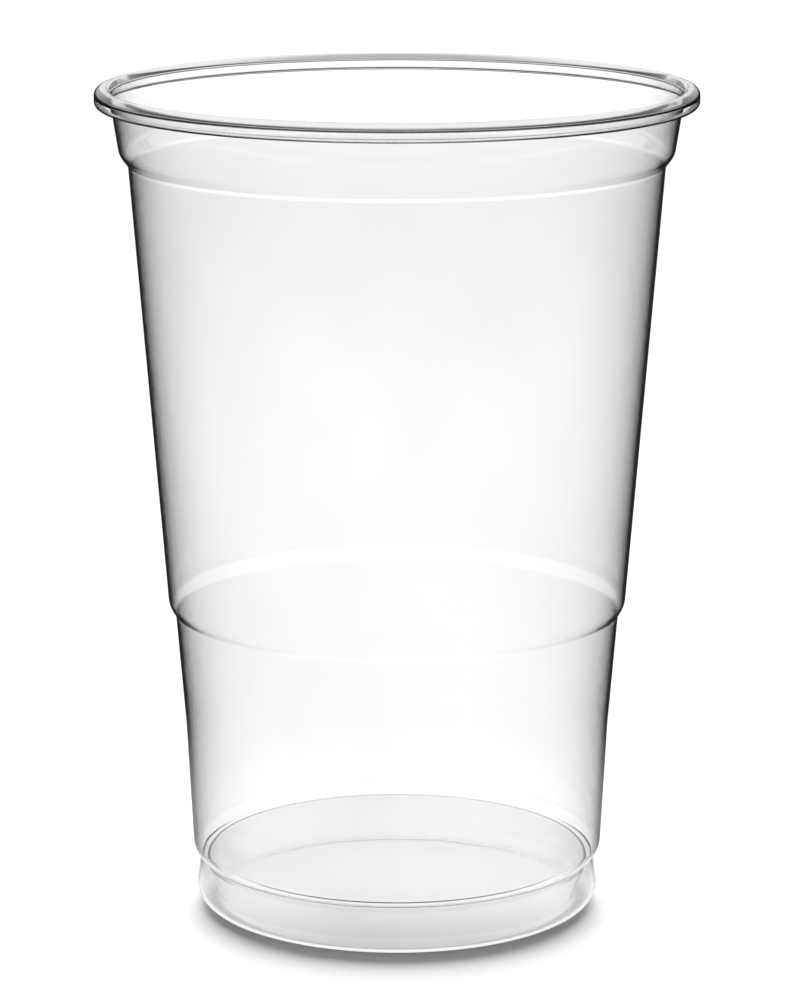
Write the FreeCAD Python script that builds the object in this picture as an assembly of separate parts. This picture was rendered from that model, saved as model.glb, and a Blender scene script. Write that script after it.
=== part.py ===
import FreeCAD, Part
import math
import os

# Disposable pint tumbler, thermoformed from one sheet of clear plastic.
# Millimetres, +Z up. The origin is the centre of the ring that the cup stands on.
# Radii and heights are those of the sheet's outer face, unless the name says otherwise.

# Overall size
HEIGHT = 132.5
RIM_DIAMETER = 95.0
WALL = 0.4

# Rolled rim: the sheet turns outwards over the top, down and back under to the wall
RIM_WIDTH = 2.7
RIM_DEPTH = 3.3
RIM_RADIUS = 0.7
RIM_BEVELS = 1
CURL_GAP = 0.35

# Lip band, from the rim down to the stacking shoulder
SHOULDER_DROP = 12.1
SHOULDER_WIDTH = 1.12
LIP_TAPER = 8.9

# Conical body, from the shoulder down to the grip step
STEP_HEIGHT = 48.2
STEP_WIDTH = 0.93
BODY_TAPER = 4.57

# Lower wall: it straightens at the waist, halfway down to the groove
WAIST_HEIGHT = 30.0
LOWER_TAPER = 4.75
WAIST_TAPER = 3.03

# Stacking groove, which a cup stacked inside this one rests on
GROOVE_HEIGHT = 7.9
GROOVE_WIDTH = 1.07

# Ledges: at each step in the wall the sheet leans this far from upright
LEDGE_SLOPE = 35.0

# Foot: it flares out below the groove, turns in round the standing ring and back up to the raised floor
FOOT_FLARE = 8.5
FOOT_RADIUS = 3.0
FOOT_BEVELS = 2
RING_WIDTH = 0.8
FLOOR_RISE = 7.8
FLOOR_DRAFT = 3.0

# How the thickened sheet turns a corner: both of its faces meet in a sharp edge
SHARP_CORNERS = 2


def slope(degrees):
    """Change of radius with height of a wall that leans this far from upright."""
    return math.tan(math.radians(degrees))


def ledge(radius, height, width, upper_taper):
    """A ledge's two corners: the lower one, and the one where it meets the upper wall's cone."""
    rise = width / (slope(LEDGE_SLOPE) - slope(upper_taper))
    return [(radius, height), (radius + rise * slope(LEDGE_SLOPE), height + rise)]


def rounded(before, corner, after, radius, bevels):
    """Corners in place of a rounded one: points on its arc, with a flat bevel from each to the next."""
    start, middle, end = [FreeCAD.Vector(*place, 0) for place in (before, corner, after)]
    back = (start - middle).normalize()
    ahead = (end - middle).normalize()
    half_angle = back.getAngle(ahead) / 2
    reach = radius / math.tan(half_angle)
    inside = (back + ahead).normalize()
    nearest = middle + inside * (radius / math.sin(half_angle) - radius)
    arc = Part.Arc(middle + back * reach, nearest, middle + ahead * reach).toShape()
    return [(point.x, point.y) for point in arc.discretize(bevels + 1)]


def base(groove):
    """Corners (radius, height) from the floor's centre to the foot, which flares out below the groove's corner."""
    groove_radius, groove_height = groove
    foot = (groove_radius + groove_height * slope(FOOT_FLARE), 0)
    foot_turn = 90 + FOOT_FLARE
    ring_outer = foot[0] - FOOT_RADIUS * slope(foot_turn / 2)
    ring_inner = (ring_outer - RING_WIDTH, 0)
    floor_edge = (ring_inner[0] - FLOOR_RISE * slope(FLOOR_DRAFT), FLOOR_RISE)
    return [
        (0, FLOOR_RISE),
        floor_edge,
        ring_inner,
        *rounded(ring_inner, foot, groove, FOOT_RADIUS, FOOT_BEVELS),
    ]


def wall():
    """Corners (radius, height) from the stacking groove up to the stacking shoulder."""
    shoulder_height = HEIGHT - SHOULDER_DROP
    lip_bottom = RIM_DIAMETER / 2 - RIM_WIDTH - (SHOULDER_DROP - RIM_DEPTH) * slope(LIP_TAPER)
    shoulder = lip_bottom - SHOULDER_WIDTH
    step = shoulder - (shoulder_height - STEP_HEIGHT) * slope(BODY_TAPER) - STEP_WIDTH
    waist = step - (STEP_HEIGHT - WAIST_HEIGHT) * slope(LOWER_TAPER)
    groove = waist - (WAIST_HEIGHT - GROOVE_HEIGHT) * slope(WAIST_TAPER) - GROOVE_WIDTH
    return [
        *ledge(groove, GROOVE_HEIGHT, GROOVE_WIDTH, WAIST_TAPER),
        (waist, WAIST_HEIGHT),
        *ledge(step, STEP_HEIGHT, STEP_WIDTH, BODY_TAPER),
        *ledge(shoulder, shoulder_height, SHOULDER_WIDTH, LIP_TAPER),
    ]


def rim():
    """Corners (radius, height) of the rolled rim, from the lip band's top to the curl's end."""
    under_rim = RIM_DIAMETER / 2 - RIM_WIDTH
    face = RIM_DIAMETER / 2 - WALL
    top = HEIGHT - WALL
    bottom = HEIGHT - RIM_DEPTH + WALL
    lip_top = (under_rim + (RIM_DEPTH - WALL) * slope(LIP_TAPER), top)
    lower_edge = (face, bottom)
    return [
        lip_top,
        *rounded(lip_top, (face, top), lower_edge, RIM_RADIUS, RIM_BEVELS),
        lower_edge,
        (under_rim + CURL_GAP, bottom),
    ]


def make_cup():
    """The cup: the sheet's outer face, thickened inwards by one wall and turned about the upright axis."""
    wall_corners = wall()
    groove = wall_corners[0]
    corners = base(groove) + wall_corners + rim()
    outer_face = Part.makePolygon([FreeCAD.Vector(radius, 0, height) for radius, height in corners])
    section = outer_face.makeOffset2D(WALL, join=SHARP_CORNERS, fill=True, openResult=True)
    return section.revolve(FreeCAD.Vector(0, 0, 0), FreeCAD.Vector(0, 0, 1), 360)


os.makedirs("parts", exist_ok=True)
cup = make_cup()
cup.exportStep("parts/cup.step")
print("cup: valid", cup.isValid(), "volume", round(cup.Volume), "box", cup.BoundBox)
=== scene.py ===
import logging
import math
from dataclasses import dataclass
from enum import Enum

import bpy
from mathutils import Matrix, Vector


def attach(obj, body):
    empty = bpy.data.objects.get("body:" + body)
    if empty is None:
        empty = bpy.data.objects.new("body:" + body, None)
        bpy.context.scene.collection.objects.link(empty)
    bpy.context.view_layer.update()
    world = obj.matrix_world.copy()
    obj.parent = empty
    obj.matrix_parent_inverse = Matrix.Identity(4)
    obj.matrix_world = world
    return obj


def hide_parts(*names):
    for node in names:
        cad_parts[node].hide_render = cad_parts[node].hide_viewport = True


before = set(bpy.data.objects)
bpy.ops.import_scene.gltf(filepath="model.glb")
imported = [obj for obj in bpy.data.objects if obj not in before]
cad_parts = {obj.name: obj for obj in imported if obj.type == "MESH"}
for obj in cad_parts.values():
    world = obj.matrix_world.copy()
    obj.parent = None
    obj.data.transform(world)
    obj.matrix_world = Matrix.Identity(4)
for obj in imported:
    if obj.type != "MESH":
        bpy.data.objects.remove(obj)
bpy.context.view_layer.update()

MILLIMETRE = 0.001
PHOTO_WIDTH = 800
PHOTO_HEIGHT = 1000
LIGHT_BOUNCES = 24
ANY_MIRRORING = 0.5

log = logging.getLogger("cup")

Source = bpy.types.NodeSocket | float | tuple[float, float, float]


class SheetFace(Enum):
    """The two faces of the sheet that the cup is formed from."""

    OUTER = 0
    INNER = 1


@dataclass(frozen=True)
class Corner:
    """A corner of one face of the sheet before it is rounded, in millimetres.

    The sheet's thickness is the one that it has after the corner.
    """

    radius: float
    height: float
    sheet: float
    rounding: float = 0.0

    def point(self) -> Vector:
        """The corner as a point of the section plane."""
        return Vector((self.radius, self.height))


def lean(degrees: float) -> float:
    """Change of radius with height of a wall that leans this far from upright."""
    return math.tan(math.radians(degrees))


def heading(start: Corner, end: Corner) -> Vector:
    """The direction from one corner to another."""
    return (end.point() - start.point()).normalized()


def leftwards(direction: Vector) -> Vector:
    """The direction a quarter turn to the left, which is the sheet's inner side."""
    return Vector((-direction.y, direction.x))


def sine_between(arriving: Vector, leaving: Vector) -> float:
    """Sine of the turn from one direction to the next, above nought to the left."""
    return arriving.x * leaving.y - arriving.y * leaving.x


def added(name: str, data: bpy.types.ID) -> bpy.types.Object:
    """Makes an object and adds it to the scene.

    Args:
        name: the object's name.
        data: its mesh, camera or light.

    Returns:
        The new object.
    """
    made = bpy.data.objects.new(name, data)
    bpy.context.scene.collection.objects.link(made)
    return made


@dataclass
class Tumbler:
    """The cup: one thermoformed sheet, turned about the upright axis.

    Sizes are in millimetres and degrees. Radii and heights are those of the outer face.
    """

    height: float = 132.5
    rim_diameter: float = 95.0
    wall: float = 0.4

    # Rolled rim: the sheet turns outwards over the top, down and back under
    rim_width: float = 2.7
    rim_depth: float = 3.3
    rim_sheet: float = 0.9
    curl_sheet: float = 0.25
    rim_inner_radius: float = 0.4
    rim_outer_radius: float = 0.5
    rim_lower_radius: float = 0.6
    curl_gap: float = 1.2
    curl_rise: float = 0.7

    # Lip band, from the rim down to the stacking shoulder
    shoulder_drop: float = 12.1
    shoulder_width: float = 1.12
    lip_taper: float = 8.9

    # Conical body, from the shoulder down to the grip step
    step_height: float = 48.2
    step_width: float = 0.93
    body_taper: float = 4.57

    # Lower wall, which straightens at the waist
    waist_height: float = 30.0
    lower_taper: float = 4.75
    waist_taper: float = 3.03
    waist_blend: float = 40.0

    # Stacking groove
    groove_height: float = 7.9
    groove_width: float = 1.07

    # Ledges of the groove, the step and the shoulder
    ledge_slope: float = 38.0
    groove_slope: float = 48.0
    ledge_radius: float = 3.1
    ledge_rounded: float = 0.95
    groove_corner: float = 0.12
    step_corner: float = 1.5
    shoulder_corner: float = 1.2

    # Foot, standing ring and raised floor
    foot_flare: float = 8.5
    foot_radius: float = 3.0
    ring_width: float = 1.6
    ring_radius: float = 1.2
    floor_rise: float = 7.8
    floor_radius: float = 0.7
    floor_gap: float = 1.0

    # How finely the rounds are made
    sides: int = 256
    arc_step: float = 7.0
    fewest_steps: int = 2
    sharp_angle: float = 60.0

    def ledge(
        self,
        foot: Vector,
        lower_taper: float,
        slope: float,
        upper_taper: float,
        width: float,
        corner_radius: float,
    ) -> list[Corner]:
        """A ledge's two corners: the tight one below and the rounded one above.

        Args:
            foot: the lower corner.
            lower_taper: lean of the wall below, in degrees.
            slope: lean of the ledge, in degrees.
            upper_taper: lean of the wall above, in degrees.
            width: how far the ledge steps outwards.
            corner_radius: the lower corner's rounding.

        Returns:
            The two corners, the lower one first.
        """
        rise = width / (lean(slope) - lean(upper_taper))
        length = rise / math.cos(math.radians(slope))
        free = length - corner_radius * lean((slope - lower_taper) / 2)
        widest = self.ledge_rounded * free / lean((slope - upper_taper) / 2)
        return [
            Corner(foot.x, foot.y, self.wall, corner_radius),
            Corner(
                foot.x + rise * lean(slope),
                foot.y + rise,
                self.wall,
                min(self.ledge_radius, widest),
            ),
        ]

    def base_corners(self, groove: Vector) -> list[Corner]:
        """Corners from the floor's centre to the foot.

        Args:
            groove: the groove's lower corner, below which the foot flares out.

        Returns:
            The corners of the floor, the standing ring and the foot.
        """
        foot = groove.x + self.groove_height * lean(self.foot_flare)
        ring_outer = foot - self.foot_radius * lean((90 + self.foot_flare) / 2)
        return [
            Corner(0.0, self.floor_rise, self.wall),
            Corner(groove.x - self.floor_gap, self.floor_rise, self.wall, self.floor_radius),
            Corner(ring_outer - self.ring_width, 0.0, self.wall, self.ring_radius),
            Corner(foot, 0.0, self.wall, self.foot_radius),
        ]

    def rim_corners(self, under_rim: float) -> list[Corner]:
        """Corners of the rolled rim.

        Args:
            under_rim: the lip band's radius at the height of the rim's lower edge.

        Returns:
            The corners from the lip band's top to the curl's end.
        """
        top = self.height - self.rim_sheet
        face = self.rim_diameter / 2 - self.curl_sheet
        bottom = self.height - self.rim_depth + self.curl_sheet
        lip_top = under_rim + (self.rim_depth - self.rim_sheet) * lean(self.lip_taper)
        return [
            Corner(lip_top, top, self.rim_sheet, self.rim_inner_radius),
            Corner(face, top, self.curl_sheet, self.rim_outer_radius),
            Corner(face, bottom, self.curl_sheet, self.rim_lower_radius),
            Corner(under_rim + self.curl_gap, bottom + self.curl_rise, self.curl_sheet),
        ]

    def corners(self) -> list[Corner]:
        """Corners of the sheet's outer face.

        Returns:
            The corners from the floor's centre to the curl's end.
        """
        under_rim = self.rim_diameter / 2 - self.rim_width
        shoulder_height = self.height - self.shoulder_drop
        lip_bottom = under_rim - (self.shoulder_drop - self.rim_depth) * lean(self.lip_taper)
        shoulder = Vector((lip_bottom - self.shoulder_width, shoulder_height))

        body_bottom = shoulder.x - (shoulder_height - self.step_height) * lean(self.body_taper)
        step = Vector((body_bottom - self.step_width, self.step_height))
        narrowing = (self.step_height - self.waist_height) * lean(self.lower_taper)
        waist = Vector((step.x - narrowing, self.waist_height))
        wall_bottom = waist.x - (self.waist_height - self.groove_height) * lean(self.waist_taper)
        groove = Vector((wall_bottom - self.groove_width, self.groove_height))

        return [
            *self.base_corners(groove),
            *self.ledge(
                groove,
                -self.foot_flare,
                self.groove_slope,
                self.waist_taper,
                self.groove_width,
                self.groove_corner,
            ),
            Corner(waist.x, waist.y, self.wall, self.waist_blend),
            *self.ledge(
                step,
                self.lower_taper,
                self.ledge_slope,
                self.body_taper,
                self.step_width,
                self.step_corner,
            ),
            *self.ledge(
                shoulder,
                self.body_taper,
                self.ledge_slope,
                self.lip_taper,
                self.shoulder_width,
                self.shoulder_corner,
            ),
            *self.rim_corners(under_rim),
        ]

    def inner_corners(self, outer: list[Corner]) -> list[Corner]:
        """The matching corners of the sheet's inner face.

        Args:
            outer: the outer face's corners, each with the sheet's thickness after it.

        Returns:
            The inner face's corners, in the same order.
        """
        first, last = outer[0], outer[-1]
        inner = [Corner(first.radius, first.height + first.sheet, first.sheet)]
        for before, corner, after in zip(outer, outer[1:], outer[2:]):
            arriving = heading(before, corner)
            leaving = heading(corner, after)
            sine = sine_between(arriving, leaving)
            along = (corner.sheet - before.sheet * arriving.dot(leaving)) / sine
            place = corner.point() + leftwards(arriving) * before.sheet - arriving * along
            middle = math.copysign((before.sheet + corner.sheet) / 2, sine)
            inner.append(Corner(place.x, place.y, corner.sheet, corner.rounding - middle))
        end = last.point() + leftwards(heading(outer[-2], last)) * outer[-2].sheet
        return [*inner, Corner(end.x, end.y, last.sheet)]

    def rounded(self, before: Corner, corner: Corner, after: Corner) -> list[Vector]:
        """The points along the arc that rounds one corner.

        Args:
            before: the corner that the sheet comes from.
            corner: the corner to round.
            after: the corner that the sheet goes to.

        Returns:
            Points of the section plane, in the sheet's order.
        """
        arriving = heading(before, corner)
        leaving = heading(corner, after)
        turn = math.atan2(sine_between(arriving, leaving), arriving.dot(leaving))
        start = corner.point() - arriving * (corner.rounding * math.tan(abs(turn) / 2))
        centre = start + leftwards(arriving) * math.copysign(corner.rounding, turn)
        count = max(self.fewest_steps, math.ceil(math.degrees(abs(turn)) / self.arc_step))
        points = []
        for index in range(count + 1):
            spoke = start - centre
            spoke.rotate(Matrix.Rotation(turn * index / count, 2))
            points.append(centre + spoke)
        return points

    def face(self, side: SheetFace) -> list[Vector]:
        """One face of the sheet, with its corners rounded.

        Args:
            side: which of the two faces.

        Returns:
            Points of the section plane from the floor's centre to the curl's end.
        """
        corners = self.corners()
        if side is SheetFace.INNER:
            corners = self.inner_corners(corners)
        points = [corners[0].point()]
        for before, corner, after in zip(corners, corners[1:], corners[2:]):
            points.extend(self.rounded(before, corner, after))
        return [*points, corners[-1].point()]

    def mesh(self) -> bpy.types.Mesh:
        """The closed shell of the sheet, turned about the upright axis.

        Returns:
            A mesh in metres with smooth faces.
        """
        outer = self.face(SheetFace.OUTER)
        inner = self.face(SheetFace.INNER)
        rings = outer[1:] + inner[:0:-1]
        verts: list[tuple[float, float, float]] = [(0.0, 0.0, outer[0].y * MILLIMETRE)]
        for place in rings:
            radius = place.x * MILLIMETRE
            height = place.y * MILLIMETRE
            for side in range(self.sides):
                angle = math.tau * side / self.sides
                verts.append((radius * math.cos(angle), radius * math.sin(angle), height))
        verts.append((0.0, 0.0, inner[0].y * MILLIMETRE))
        last = len(verts) - 1

        faces: list[tuple[int, ...]] = []
        for side in range(self.sides):
            after = (side + 1) % self.sides
            faces.append((0, 1 + after, 1 + side))
            for ring in range(len(rings) - 1):
                here = 1 + ring * self.sides
                there = here + self.sides
                faces.append((here + side, here + after, there + after, there + side))
            top = 1 + (len(rings) - 1) * self.sides
            faces.append((top + side, top + after, last))

        mesh = bpy.data.meshes.new("tumbler")
        mesh.from_pydata(verts, [], faces)
        mesh.update()
        mesh.polygons.foreach_set("use_smooth", [True] * len(mesh.polygons))
        mesh.set_sharp_from_angle(angle=math.radians(self.sharp_angle))
        return mesh

    def build(self, finish: "ClearPlastic") -> bpy.types.Object:
        """Makes the cup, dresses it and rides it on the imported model's body.

        Args:
            finish: the clear plastic's finish.

        Returns:
            The finished piece.
        """
        piece = added("tumbler", self.mesh())
        piece.data.materials.append(finish.material())
        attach(piece, "root")
        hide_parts("cup")
        return piece


class Graph:
    """A node tree, with short ways to add nodes and to feed their sockets."""

    def __init__(self, tree: bpy.types.NodeTree) -> None:
        """Takes over the tree and empties it."""
        self.tree = tree
        tree.nodes.clear()

    def node(self, kind: str, **settings: str) -> bpy.types.Node:
        """Adds a node.

        Args:
            kind: the node's type.
            settings: its properties by name.

        Returns:
            The new node.
        """
        made = self.tree.nodes.new(kind)
        for name, value in settings.items():
            setattr(made, name, value)
        return made

    def feed(self, socket: bpy.types.NodeSocket, source: Source) -> None:
        """Links a socket to another one, or gives it a plain value.

        Args:
            socket: the input to feed.
            source: an output, a number or a vector.
        """
        if isinstance(source, bpy.types.NodeSocket):
            self.tree.links.new(source, socket)
        else:
            socket.default_value = source

    def position(self) -> bpy.types.NodeSocket:
        """The place of each point of the surface, in metres."""
        return self.node("ShaderNodeNewGeometry").outputs["Position"]

    def split(self, place: bpy.types.NodeSocket) -> bpy.types.NodeOutputs:
        """The X, Y and Z of a place or direction.

        Args:
            place: the vector.

        Returns:
            Outputs that are found by those three names.
        """
        made = self.node("ShaderNodeSeparateXYZ")
        self.feed(made.inputs["Vector"], place)
        return made.outputs

    def distance(self, place: bpy.types.NodeSocket) -> bpy.types.NodeSocket:
        """How far a place is from the centre of the ring that the cup stands on.

        Args:
            place: the vector.

        Returns:
            The distance's socket.
        """
        made = self.node("ShaderNodeVectorMath", operation="LENGTH")
        self.feed(made.inputs[0], place)
        return made.outputs["Value"]

    def calculate(self, operation: str, first: Source, second: Source) -> bpy.types.NodeSocket:
        """Works out one number from two others.

        Args:
            operation: the math node's operation.
            first: the first number.
            second: the second number.

        Returns:
            The result's socket.
        """
        made = self.node("ShaderNodeMath", operation=operation)
        self.feed(made.inputs[0], first)
        self.feed(made.inputs[1], second)
        return made.outputs["Value"]

    def ramp(
        self, value: Source, start: float, end: float, low: Source, high: Source
    ) -> bpy.types.NodeSocket:
        """Eases from one value to another while the input goes from start to end.

        Args:
            value: the input.
            start: the input where the result is still low.
            end: the input where the result has reached high.
            low: the result's first value.
            high: the result's last value.

        Returns:
            The result's socket.
        """
        made = self.node("ShaderNodeMapRange", interpolation_type="SMOOTHSTEP")
        names = ("Value", "From Min", "From Max", "To Min", "To Max")
        for name, source in zip(names, (value, start, end, low, high)):
            self.feed(made.inputs[name], source)
        return made.outputs["Result"]

    def noise(
        self, place: Source, scale: tuple[float, float, float], detail: float
    ) -> bpy.types.NodeSocket:
        """A noise over a place.

        Args:
            place: the vector.
            scale: waves to the metre along each axis.
            detail: how many finer layers it has.

        Returns:
            The noise's socket, from nought to one.
        """
        spread = self.node("ShaderNodeVectorMath", operation="MULTIPLY")
        self.feed(spread.inputs[0], place)
        self.feed(spread.inputs[1], scale)
        made = self.node("ShaderNodeTexNoise")
        self.feed(made.inputs["Vector"], spread.outputs["Vector"])
        self.feed(made.inputs["Scale"], 1.0)
        self.feed(made.inputs["Detail"], detail)
        return made.outputs["Fac"]

    def mirrored(self) -> bpy.types.NodeSocket:
        """One where a ray has been mirrored on its way, and nought elsewhere."""
        depth = self.node("ShaderNodeLightPath").outputs["Glossy Depth"]
        return self.calculate("GREATER_THAN", depth, ANY_MIRRORING)

    def either(
        self,
        choice: bpy.types.NodeSocket,
        first: bpy.types.NodeSocket,
        second: bpy.types.NodeSocket,
    ) -> bpy.types.NodeSocket:
        """Mixes two shaders.

        Args:
            choice: nought for the first shader and one for the second.
            first: the first shader.
            second: the second shader.

        Returns:
            The mixed shader's socket.
        """
        made = self.node("ShaderNodeMixShader")
        for socket, source in zip(made.inputs, (choice, first, second)):
            self.feed(socket, source)
        return made.outputs["Shader"]


@dataclass(frozen=True)
class ClearPlastic:
    """Thin clear thermoformed plastic, with soft clouds, ripples, fine handling marks and painted
    shade round the top of the rim.

    Places and sizes are in metres, and scales are waves to the metre along each axis.
    """

    # Soft clouds in the tint, from the forming
    cloud_scale: tuple[float, float, float] = (38.0, 38.0, 22.0)
    cloud_detail: float = 3.0
    cloud_start: float = 0.3
    cloud_end: float = 0.7
    cloud_low: float = 0.955
    cloud_high: float = 0.99

    # Ripples in both faces
    ripple_scale: tuple[float, float, float] = (160.0, 160.0, 45.0)
    ripple_detail: float = 1.0
    ripple_height: float = 0.00002

    # Handling marks, a little rougher than the polished sheet
    mark_scale: tuple[float, float, float] = (900.0, 900.0, 2600.0)
    mark_detail: float = 4.0
    mark_start: float = 0.55
    mark_end: float = 0.8
    polish: float = 0.012
    worn: float = 0.06

    ior: float = 1.5

    # Shares of a lamp's light that one face lets through
    wall_light: float = 0.985
    floor_front: float = 0.64
    floor_back: float = 0.98
    foot_front: float = 0.12
    foot_back: float = 0.97

    # Where these shares change, from the front to the back, outwards and upwards
    floor_front_edge: float = -0.03
    foot_front_edge: float = -0.02
    back_edge: float = 0.012
    floor_reach: float = 0.027
    foot_reach: float = 0.031
    foot_fade: float = 0.0045
    foot_top: float = 0.0075
    floor_top: float = 0.0085
    groove_top: float = 0.0095

    # Painted shade: a dark ring round the top of the rolled rim's curl
    rim_shade_radius: float = 0.0464
    rim_shade_bottom: float = 0.1311
    rim_shade_top: float = 0.1321
    rim_shade_blur: float = 0.0003
    rim_shade_tint: float = 0.2

    def painted_rim_shade(self, graph: Graph, place: bpy.types.NodeSocket) -> bpy.types.NodeSocket:
        """Painted shade: a dark tint in a narrow ring round the top of the rim's curl.

        Args:
            graph: the plastic's node tree.
            place: the place of each point of the surface.

        Returns:
            The tint's socket, one everywhere else.
        """
        parts = graph.split(place)
        flat = graph.node("ShaderNodeCombineXYZ")
        graph.feed(flat.inputs["X"], parts["X"])
        graph.feed(flat.inputs["Y"], parts["Y"])
        radius = graph.distance(flat.outputs["Vector"])
        blur = self.rim_shade_blur
        # Painted shade: dark only in the narrow ring round the top of the curl
        above = graph.ramp(parts["Z"], self.rim_shade_top - blur, self.rim_shade_top, self.rim_shade_tint, 1.0)
        ring = graph.ramp(parts["Z"], self.rim_shade_bottom, self.rim_shade_bottom + blur, 1.0, above)
        return graph.ramp(radius, self.rim_shade_radius, self.rim_shade_radius + blur, 1.0, ring)

    def lamp_light(self, graph: Graph, place: bpy.types.NodeSocket) -> bpy.types.NodeSocket:
        """How much of a lamp's light one face lets through, least at the front of the base.

        Args:
            graph: the plastic's node tree.
            place: the place of each point of the surface.

        Returns:
            The share's socket.
        """
        parts = graph.split(place)
        floor = graph.ramp(
            parts["Y"], self.floor_front_edge, self.back_edge, self.floor_front, self.floor_back
        )
        low_foot = graph.ramp(
            parts["Y"], self.foot_front_edge, self.back_edge, self.foot_front, self.foot_back
        )
        foot = graph.ramp(parts["Z"], self.foot_fade, self.foot_top, low_foot, self.wall_light)
        base = graph.ramp(graph.distance(place), self.floor_reach, self.foot_reach, floor, foot)
        return graph.ramp(parts["Z"], self.floor_top, self.groove_top, base, self.wall_light)

    def material(self) -> bpy.types.Material:
        """The plastic's node material.

        Returns:
            Clear plastic that lets a lamp's light through without bending it.
        """
        material = bpy.data.materials.new("clear_plastic")
        material.use_nodes = True
        graph = Graph(material.node_tree)
        place = graph.position()

        glass = graph.node("ShaderNodeBsdfPrincipled")
        clouds = graph.noise(place, self.cloud_scale, self.cloud_detail)
        tint = graph.ramp(
            clouds, self.cloud_start, self.cloud_end, self.cloud_low, self.cloud_high
        )
        # The tint carries the painted shade round the top of the rim
        colour = graph.calculate("MULTIPLY", tint, self.painted_rim_shade(graph, place))
        graph.feed(glass.inputs["Base Color"], colour)

        marks = graph.noise(place, self.mark_scale, self.mark_detail)
        roughness = graph.ramp(marks, self.mark_start, self.mark_end, self.polish, self.worn)
        graph.feed(glass.inputs["Roughness"], roughness)

        ripples = graph.node("ShaderNodeBump")
        waves = graph.noise(place, self.ripple_scale, self.ripple_detail)
        graph.feed(ripples.inputs["Height"], waves)
        graph.feed(ripples.inputs["Distance"], self.ripple_height)
        graph.feed(glass.inputs["Normal"], ripples.outputs["Normal"])
        graph.feed(glass.inputs["IOR"], self.ior)
        graph.feed(glass.inputs["Transmission Weight"], 1.0)

        passed = graph.node("ShaderNodeBsdfTransparent")
        graph.feed(passed.inputs["Color"], self.lamp_light(graph, place))
        shadow = graph.node("ShaderNodeLightPath").outputs["Is Shadow Ray"]
        shader = graph.either(shadow, glass.outputs["BSDF"], passed.outputs["BSDF"])
        output = graph.node("ShaderNodeOutputMaterial")
        graph.feed(output.inputs["Surface"], shader)
        return material


@dataclass
class PhotoCamera:
    """The camera at the photograph's angle, fitted to the cup's outline and its ellipses.

    Places are in metres and the pitch is in degrees.
    """

    focal_pixels: float = 4245.3
    distance: float = 0.66415
    height: float = 0.21247
    pitch: float = 12.438
    axis_column: float = 397.0
    sensor_width: float = 36.0

    def build(self) -> bpy.types.Object:
        """Makes the camera and sets it as the scene's.

        Returns:
            The camera.
        """
        data = bpy.data.cameras.new("photo_camera")
        data.sensor_width = self.sensor_width
        data.lens = self.focal_pixels * self.sensor_width / PHOTO_HEIGHT
        data.shift_x = (PHOTO_WIDTH / 2 - self.axis_column) / PHOTO_HEIGHT
        camera = added("photo_camera", data)
        camera.location = (0.0, -self.distance, self.height)
        camera.rotation_euler = (math.radians(90.0 - self.pitch), 0.0, 0.0)
        bpy.context.scene.camera = camera
        return camera


@dataclass
class StudioFloor:
    """The pale floor that the cup stands on, with painted light and shade in its tone and a white
    sweep far off.

    Distances from the cup's middle are in metres.
    """

    half_side: float = 4.0
    roughness: float = 0.9

    # The paper, with painted light and shade: a little dimmer some way off, and brightest at the
    # sweep
    near: float = 0.3
    far: float = 0.8
    sweep: float = 1.3
    near_painted_tone: float = 0.855
    far_painted_shade: float = 0.76
    sweep_painted_light: float = 0.95

    # Painted reflection: to mirrored rays the floor glows as a bright pool under the cup in a
    # dark surround
    pool_radius: float = 0.036
    edge_radius: float = 0.05
    dark_radius: float = 0.13
    pool_light: float = 1.0
    edge_light: float = 0.3
    dark_light: float = 0.02

    def build(self) -> bpy.types.Object:
        """Makes the floor.

        Returns:
            The floor.
        """
        side = self.half_side
        corners = [(-side, -side, 0), (side, -side, 0), (side, side, 0), (-side, side, 0)]
        mesh = bpy.data.meshes.new("studio_floor")
        mesh.from_pydata(corners, [], [(0, 1, 2, 3)])
        mesh.materials.append(self.material())
        floor = added("studio_floor", mesh)
        return floor

    def material(self) -> bpy.types.Material:
        """The floor's node material.

        Returns:
            Matt white to the eye with painted light and shade on the paper, and a painted
            reflection, the bright pool, to a mirrored ray.
        """
        material = bpy.data.materials.new("studio_floor")
        material.use_nodes = True
        graph = Graph(material.node_tree)
        away = graph.distance(graph.position())

        paper = graph.node("ShaderNodeBsdfPrincipled")
        # Painted light and shade: the paper dims some way off and brightens at the sweep
        painted_shade_off = graph.ramp(
            away, self.near, self.far, self.near_painted_tone, self.far_painted_shade
        )
        painted_floor_light = graph.ramp(away, self.far, self.sweep, painted_shade_off, self.sweep_painted_light)
        graph.feed(paper.inputs["Base Color"], painted_floor_light)
        graph.feed(paper.inputs["Roughness"], self.roughness)

        # Painted reflection: the floor glows, but only to mirrored rays
        gloss_view = graph.node("ShaderNodeEmission")
        around = graph.ramp(
            away, self.edge_radius, self.dark_radius, self.edge_light, self.dark_light
        )
        pool = graph.ramp(away, self.pool_radius, self.edge_radius, self.pool_light, around)
        graph.feed(gloss_view.inputs["Strength"], pool)

        shader = graph.either(
            graph.mirrored(), paper.outputs["BSDF"], gloss_view.outputs["Emission"]
        )
        output = graph.node("ShaderNodeOutputMaterial")
        graph.feed(output.inputs["Surface"], shader)
        return material


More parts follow.
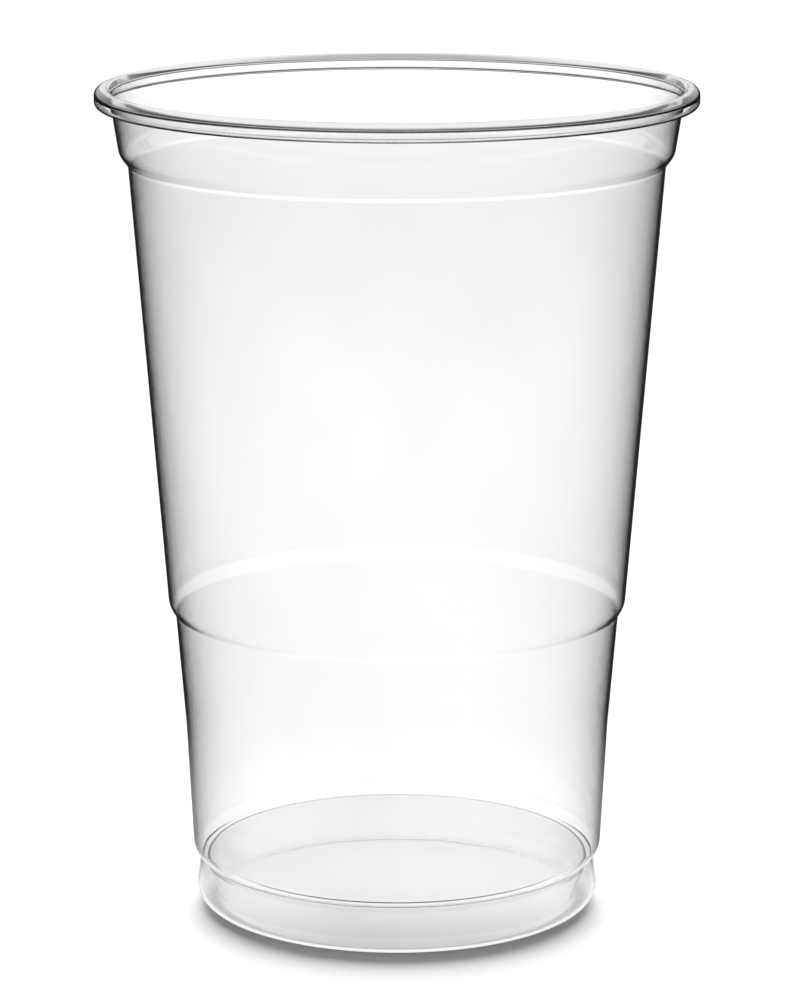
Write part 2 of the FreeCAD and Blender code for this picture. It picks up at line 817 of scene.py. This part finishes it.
@dataclass
class StudioLight:
    """The soft studio light: a surround that is white low down, and one large soft panel.

    How high a direction points is given by its upward part, from nought at the horizon
    to one straight up. Angles are in degrees.
    """

    # The surround as it is seen and as it lights
    horizon: float = 1.0
    surround: float = 0.35
    horizon_low: float = 0.15
    horizon_high: float = 0.35

    # The surround as the plastic mirrors it: dark low down and bright above
    gloss_horizon: float = 0.1
    gloss_surround: float = 1.15
    gloss_climb: float = 0.12

    panel_strength: float = 5.2
    panel_width: float = 55.0
    panel_tilt: float = 48.0

    def build(self) -> None:
        """Makes the surround and the panel."""
        bpy.context.scene.world = self.surroundings()
        self.panel()

    def surroundings(self) -> bpy.types.World:
        """The surround, which mirrored rays see in its own tones.

        Returns:
            The world.
        """
        world = bpy.data.worlds.new("studio")
        world.use_nodes = True
        graph = Graph(world.node_tree)
        direction = graph.node("ShaderNodeTexCoord").outputs["Generated"]
        upward = graph.split(direction)["Z"]

        seen = graph.node("ShaderNodeBackground")
        backdrop = graph.ramp(
            upward, self.horizon_low, self.horizon_high, self.horizon, self.surround
        )
        graph.feed(seen.inputs["Strength"], backdrop)
        gloss_view = graph.node("ShaderNodeBackground")
        climb = graph.ramp(upward, 0.0, self.gloss_climb, self.gloss_horizon, self.gloss_surround)
        graph.feed(gloss_view.inputs["Strength"], climb)

        shader = graph.either(
            graph.mirrored(), seen.outputs["Background"], gloss_view.outputs["Background"]
        )
        output = graph.node("ShaderNodeOutputWorld")
        graph.feed(output.inputs["Surface"], shader)
        return world

    def panel(self) -> bpy.types.Object:
        """The panel above and behind the cup, which the plastic neither mirrors nor shows.

        Returns:
            The panel's light.
        """
        data = bpy.data.lights.new("panel", "SUN")
        data.energy = self.panel_strength
        data.angle = math.radians(self.panel_width)
        panel = added("panel", data)
        panel.rotation_euler = (math.radians(-self.panel_tilt), 0.0, 0.0)
        panel.visible_glossy = False
        panel.visible_transmission = False
        return panel


def main() -> None:
    """Builds the cup and its studio, and reports each piece."""
    logging.basicConfig(level=logging.INFO, format="%(name)s: %(message)s")
    scene = bpy.context.scene
    scene.view_settings.view_transform = "Standard"
    scene.cycles.max_bounces = LIGHT_BOUNCES
    scene.cycles.transmission_bounces = LIGHT_BOUNCES
    scene.cycles.transparent_max_bounces = LIGHT_BOUNCES
    PhotoCamera().build()
    StudioFloor().build()
    StudioLight().build()
    cup = Tumbler().build(ClearPlastic())
    log.info("%s has %d faces", cup.name, len(cup.data.polygons))


if __name__ == "__main__":
    main()
